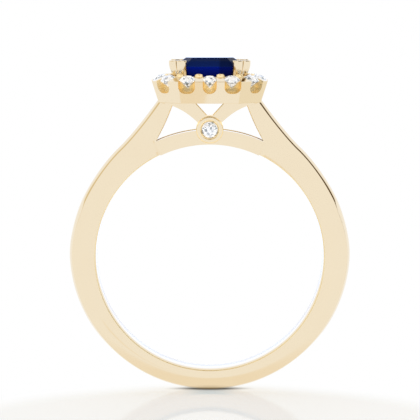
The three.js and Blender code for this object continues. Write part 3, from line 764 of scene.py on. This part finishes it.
# ---------------------------------------------------------------- basket and claws
def rail_outline(inset):
    """The basket from above, under the stone: a rectangle with cut corners."""
    x, y = RAIL_HALF_WIDTH - inset, RAIL_HALF_LENGTH - inset
    corner_sum = RAIL_CORNER_SUM - math.sqrt(2) * inset
    return fourfold([(x, corner_sum - x), (corner_sum - y, y)])


def build_rail(name, node, inset):
    """One of the basket's two rails, at the height of its CAD node."""
    low, high = (corner.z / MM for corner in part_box(node))
    edge = 0.05
    inner = inset + RAIL_DEPTH
    profile = [(inset + edge, low), (inset, low + edge), (inset, high - edge), (inset + edge, high),
               (inner - edge, high), (inner, high - edge), (inner, low + edge), (inner - edge, low)]
    verts, faces = wall_around(rail_outline, profile)
    mesh_piece(name, verts, faces, GOLD, [node], 50)


def between_stations(place):
    """Claw station at a fractional index, on a smooth curve through the stations."""
    last = len(CLAW_STATIONS) - 1
    index = min(int(place), last - 1)
    t = place - index
    a, b, c, d = (CLAW_STATIONS[min(max(index + k, 0), last)] for k in (-1, 0, 1, 2))
    return [0.5 * (2 * q + (r - p) * t + (2 * p - 5 * q + 4 * r - s) * t * t
                   + (3 * q - p - 3 * r + s) * t ** 3) for p, q, r, s in zip(a, b, c, d)]


def build_claw(name, corner, outward, seam_side):
    """One of a corner's two claws: flat-sided, split at the seam, tip folded over the stone."""
    sideways = Vector((outward.y, -outward.x))
    steps = 5
    stations = [between_stations(i / steps) for i in range(steps * (len(CLAW_STATIONS) - 1) + 1)]
    tip_z, tip_out, tip_apart, tip_deep, tip_wide = stations[-1]
    for rise, shrink in CLAW_TIP:
        stations.append((tip_z + rise, tip_out, tip_apart, tip_deep - shrink, tip_wide - shrink))
    rings = []
    sides = 36
    for z, out, apart, deep, wide in stations:
        ring = []
        for i in range(sides):
            angle = 2 * math.pi * i / sides
            along, across = (math.copysign(abs(part) ** CLAW_SQUARENESS, part) * half
                             for part, half in ((math.cos(angle), deep), (math.sin(angle), wide)))
            from_seam = max(apart + across, CLAW_SEAM)
            place = corner + outward * (out + along) + sideways * seam_side * from_seam
            ring.append((place.x * MM, place.y * MM, z * MM))
        rings.append(ring if seam_side < 0 else ring[::-1])
    claw = shape_object(*loft(rings), GOLD)
    notch = bpy.data.objects.new("notch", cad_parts["centre_sapphire"].data.copy())
    bpy.context.scene.collection.objects.link(notch)
    centre = Vector((0, 0, STONE_CENTRE_Z))
    grow = Matrix.Translation(centre) @ Matrix.Scale(NOTCH_GROWTH, 4) @ Matrix.Translation(-centre)
    notch.data.transform(grow)
    combine(claw, notch, "DIFFERENCE")
    finish_piece(claw, name + "_tip_and_stem", GOLD, [name], 35)


def build_claws():
    """A pair of claws on each of the four cut corners."""
    for end, side_y in (("front", -1), ("back", 1)):
        for side_name, side_x in (("left", -1), ("right", 1)):
            corner = Vector((side_x * CLAW_CORNER[0], side_y * CLAW_CORNER[1]))
            outward = Vector((side_x, side_y)).normalized()
            for letter, seam_side in (("a", -1), ("b", 1)):
                build_claw(f"claw_{end}_{side_name}_{letter}", corner, outward, seam_side)


# ---------------------------------------------------------------- stage
def product(nodes, links, first, second):
    both = nodes.new("ShaderNodeMath")
    both.operation = "MULTIPLY"
    links.new(first, both.inputs[0])
    links.new(second, both.inputs[1])
    return both.outputs["Value"]


def emission(nodes, colour=None):
    glow = nodes.new("ShaderNodeEmission")
    if colour:
        glow.inputs["Color"].default_value = (*colour, 1)
    return glow


def add_shaders(nodes, links, first, second):
    both = nodes.new("ShaderNodeAddShader")
    links.new(first, both.inputs[0])
    links.new(second, both.inputs[1])
    return both.outputs["Shader"]


def mix_shaders(nodes, links, factor, first, second):
    choice = nodes.new("ShaderNodeMixShader")
    links.new(factor, choice.inputs["Fac"])
    links.new(first, choice.inputs[1])
    links.new(second, choice.inputs[2])
    return choice.outputs["Shader"]


def tinted(nodes, links, tints):
    """White, with each tint laid over the ones before it where its mask is 1."""
    colour = WHITE
    for tint, mask in tints:
        colour = mix_colours(nodes, links, mask, colour, tint)
    return colour


def build_floor():
    """White floor. In front of the ring the camera sees a lit board, darker than the glowing white
    paper beyond as a painted soft shade, with its own soft shading close to the ring, an even
    painted glow and a painted contact shadow under the band; reflections see white paper with
    painted patches on it: brighter light behind the ring, a warm, slightly darker painted patch in
    front for the ring's own shade and bounced light, two warm darker patches further out that paint
    shade into two of the halo's facets, and a painted shadow under the ring."""
    mesh = bpy.data.meshes.new("studio_floor")
    corners = [(x * FLOOR_REACH, y * FLOOR_REACH, FLOOR_Z)
               for x, y in ((-1, -1), (1, -1), (1, 1), (-1, 1))]
    mesh.from_pydata(corners, [], [(0, 1, 2, 3)])
    floor = bpy.data.objects.new("studio_floor", mesh)
    bpy.context.scene.collection.objects.link(floor)
    material, nodes, links = new_material("white_floor")
    coords = nodes.new("ShaderNodeTexCoord")

    def fade_around(x, y, inner, outer, squash=1.0):
        """1 within the inner distance of a point on the floor, 0 beyond the outer one."""
        place = nodes.new("ShaderNodeMapping")
        place.inputs["Location"].default_value = (-x * MM, -y * MM * squash, 0)
        place.inputs["Scale"].default_value = (1, squash, 0)
        length = nodes.new("ShaderNodeVectorMath")
        length.operation = "LENGTH"
        links.new(coords.outputs["Object"], place.inputs["Vector"])
        links.new(place.outputs["Vector"], length.inputs[0])
        return map_range(nodes, links, length.outputs["Value"], inner * MM, outer * MM, 1.0, 0.0,
                         "SMOOTHSTEP")

    def strip_behind(near, far, half_width, outer_half_width):
        """1 in a strip of floor straight behind the ring, beyond the far distance."""
        away = nodes.new("ShaderNodeSeparateXYZ")
        links.new(coords.outputs["Object"], away.inputs["Vector"])
        behind = map_range(nodes, links, away.outputs["Y"], near * MM, far * MM, kind="SMOOTHSTEP")
        sideways = nodes.new("ShaderNodeMath")
        sideways.operation = "ABSOLUTE"
        links.new(away.outputs["X"], sideways.inputs[0])
        middle = map_range(nodes, links, sideways.outputs["Value"], outer_half_width * MM,
                           half_width * MM, kind="SMOOTHSTEP")
        return product(nodes, links, behind, middle)

    nodes.remove(nodes["Principled BSDF"])
    matt = nodes.new("ShaderNodeBsdfDiffuse")
    matt.inputs["Color"].default_value = (0.45, 0.60, 0.705, 1)
    sheen = nodes.new("ShaderNodeBsdfGlossy")
    sheen.inputs["Color"].default_value = (0.30, 0.17, 0.088, 1)
    sheen.inputs["Roughness"].default_value = 0.07
    surface = add_shaders(nodes, links, matt.outputs["BSDF"], sheen.outputs["BSDF"])
    # an even painted glow that lifts the board's shading
    painted_lift_glow = emission(nodes, (0.245, 0.255, 0.258))
    board = add_shaders(nodes, links, surface, painted_lift_glow.outputs["Emission"])
    paper = emission(nodes)
    # within a disc in front of the ring the board shows, a painted soft shade darker than the
    # glowing paper beyond
    seen = mix_shaders(nodes, links, fade_around(0, -22, 20.3, 24.2),
                       paper.outputs["Emission"], board)
    # painted contact shadow, a dark patch right under the band
    shade = emission(nodes, (0.045, 0.04, 0.03))
    seen = mix_shaders(nodes, links, fade_around(0, -0.2, 0.6, 3.6, 5),
                       seen, shade.outputs["Emission"])

    # painted patches seen only in reflections: light behind, warm bounce and shade in front, darker
    # tints, shadow under the ring
    painted_floor_patches = [(BACK_LIGHT, strip_behind(45, 75, 9, 13)),
             ((0.965, 0.90, 0.79), fade_around(0, -5, 2, 16)),
             ((0.96, 0.89, 0.77), fade_around(-4.6, -34, 3.2, 4.3, 0.9)),
             ((0.945, 0.905, 0.80), fade_around(45, 2, 10, 16)),
             ((1.1, 1.22, 1.4), fade_around(0, 12, 8, 14)),
             ((0.24, 0.18, 0.10), fade_around(0, 0, 0.4, 2.4))]
    reflected = emission(nodes)
    links.new(tinted(nodes, links, painted_floor_patches), reflected.inputs["Color"])
    path = nodes.new("ShaderNodeLightPath")
    choice = mix_shaders(nodes, links, path.outputs["Is Camera Ray"],
                         reflected.outputs["Emission"], seen)
    links.new(choice, nodes["Material Output"].inputs["Surface"])
    mesh.materials.append(material)


def build_world():
    """White studio, cooler and brighter straight behind the ring, with a brown flag standing on its
    right, a tan one on its left and two more overhead and high in front. The camera itself sees
    plain white."""
    world = bpy.data.worlds.new("white_studio")
    bpy.context.scene.world = world
    world.use_nodes = True
    nodes, links = world.node_tree.nodes, world.node_tree.links
    coords = nodes.new("ShaderNodeTexCoord")
    split = nodes.new("ShaderNodeSeparateXYZ")
    links.new(coords.outputs["Generated"], split.inputs["Vector"])

    def soft_step(value, start, end):
        """0 up to start, 1 from end on."""
        return map_range(nodes, links, value, start, end, kind="SMOOTHSTEP")

    def cone(direction, outside, inside):
        """1 close to a direction, 0 away from it; the limits are cosines."""
        dot = nodes.new("ShaderNodeVectorMath")
        dot.operation = "DOT_PRODUCT"
        dot.inputs[1].default_value = Vector(direction).normalized()
        links.new(coords.outputs["Generated"], dot.inputs[0])
        return soft_step(dot.outputs["Value"], outside, inside)

    def side_strip(side):
        """A strip beside the ring that reaches from low down to overhead."""
        front = soft_step(split.outputs["Y"], -0.24, -0.14)
        back = soft_step(split.outputs["Y"], 0.2, 0.08)
        reach = soft_step(split.outputs["X"], 0.1 * side, 0.45 * side)
        rise = soft_step(split.outputs["Z"], 0.02, 0.18)
        return product(nodes, links, product(nodes, links, front, back),
                       product(nodes, links, reach, rise))

    flags = [((0.11, 0.06, 0.005), side_strip(1)),
             ((0.78, 0.67, 0.45), side_strip(-1)),
             ((0.45, 0.32, 0.14), cone((0, -0.03, 1), 0.93, 0.985)),
             ((0.60, 0.44, 0.20), cone((0, -0.67, 0.744), 0.93, 0.975)),
             (BACK_LIGHT, cone((0, 0.99, 0.12), 0.93, 0.97))]
    path = nodes.new("ShaderNodeLightPath")
    seen = mix_colours(nodes, links, path.outputs["Is Camera Ray"],
                       tinted(nodes, links, flags), WHITE)
    links.new(seen, nodes["Background"].inputs["Color"])


def build_camera():
    camera_data = bpy.data.cameras.new("camera")
    camera = bpy.data.objects.new("camera", camera_data)
    bpy.context.scene.collection.objects.link(camera)
    towards = Vector((0, -math.cos(CAMERA_PITCH), math.sin(CAMERA_PITCH)))
    camera.location = Vector(CAMERA_TARGET) + CAMERA_DISTANCE * towards
    camera.rotation_euler = (math.pi / 2 - CAMERA_PITCH, 0, 0)
    camera_data.sensor_width = CAMERA_SENSOR
    camera_data.lens = CAMERA_LENS
    camera_data.clip_start = 1 * MM
    camera_data.clip_end = 10
    bpy.context.scene.camera = camera


build_camera()
build_world()
build_floor()
build_shank()
for side, word in ((1, "right"), (-1, "left")):
    build_bridge(side, f"under_bridge_{word}", f"bridge_{word}")
    build_strut(side, f"gallery_bar_{word}", f"gallery_strut_{word}")
build_bezel()
build_halo()
build_rail("lower_basket_rail", "base_rail", LOWER_RAIL_INSET)
build_rail("upper_basket_rail", "seat_rail", 0.0)
build_claws()

# the stones keep their CAD meshes
for name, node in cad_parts.items():
    if "diamond" in name:
        node.data.materials[0] = DIAMOND
    elif "sapphire" in name:
        node.data.materials[0] = SAPPHIRE
    else:
        node.data.materials[0] = GOLD

bpy.context.scene.view_settings.view_transform = "Standard"
